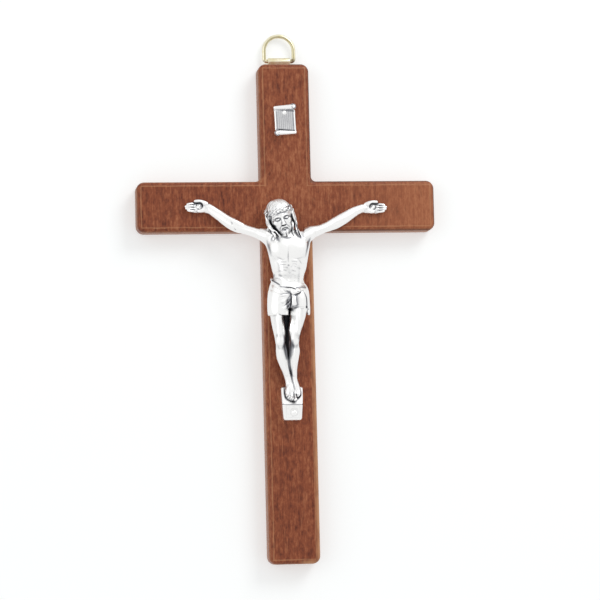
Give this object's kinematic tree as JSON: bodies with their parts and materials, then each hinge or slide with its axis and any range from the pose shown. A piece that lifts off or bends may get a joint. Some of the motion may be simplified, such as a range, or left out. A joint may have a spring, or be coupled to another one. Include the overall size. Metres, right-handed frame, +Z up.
{
  "type": "wall crucifix",
  "caption": "Wooden wall crucifix with rounded edges, a cast silver-toned figure and scroll nailed on, and a brass D-ring in a strap at the back of its head.",
  "frame": {"origin": "on the flat back of the wooden cross, where the middle lines of the upright and the crossbar meet", "axes": "+Z up along the upright, -Y out of the front face, where the figure is, +Y to the wall, +X to the viewer's right"},
  "size_m": [0.12, 0.0226, 0.2132],
  "materials": {
    "wood": "satin red-brown hardwood, sealed, with open pores and edges sanded lighter",
    "silver": "antique silver plate, bright on the high places and dark in the hollows",
    "brass": "pale polished brass plate"
  },
  "bodies": {
    "cross": {"wooden_cross": "wood", "corpus": "silver", "left_hand_nail": "silver", "right_hand_nail": "silver", "foot_nail": "silver", "scroll": "silver", "scroll_pin": "silver", "hanger_strap": "brass", "hanger_nail": "brass"},
    "ring": {"d_ring": "brass"}
  },
  "joints": [
    {"name": "ring_swing", "type": "hinge", "parent": "cross", "child": "ring", "pos_m": [-0.0008, -0.00145, 0.0598], "axis": [1, 0, 0], "range_deg": [-130, 98]}
  ]
}
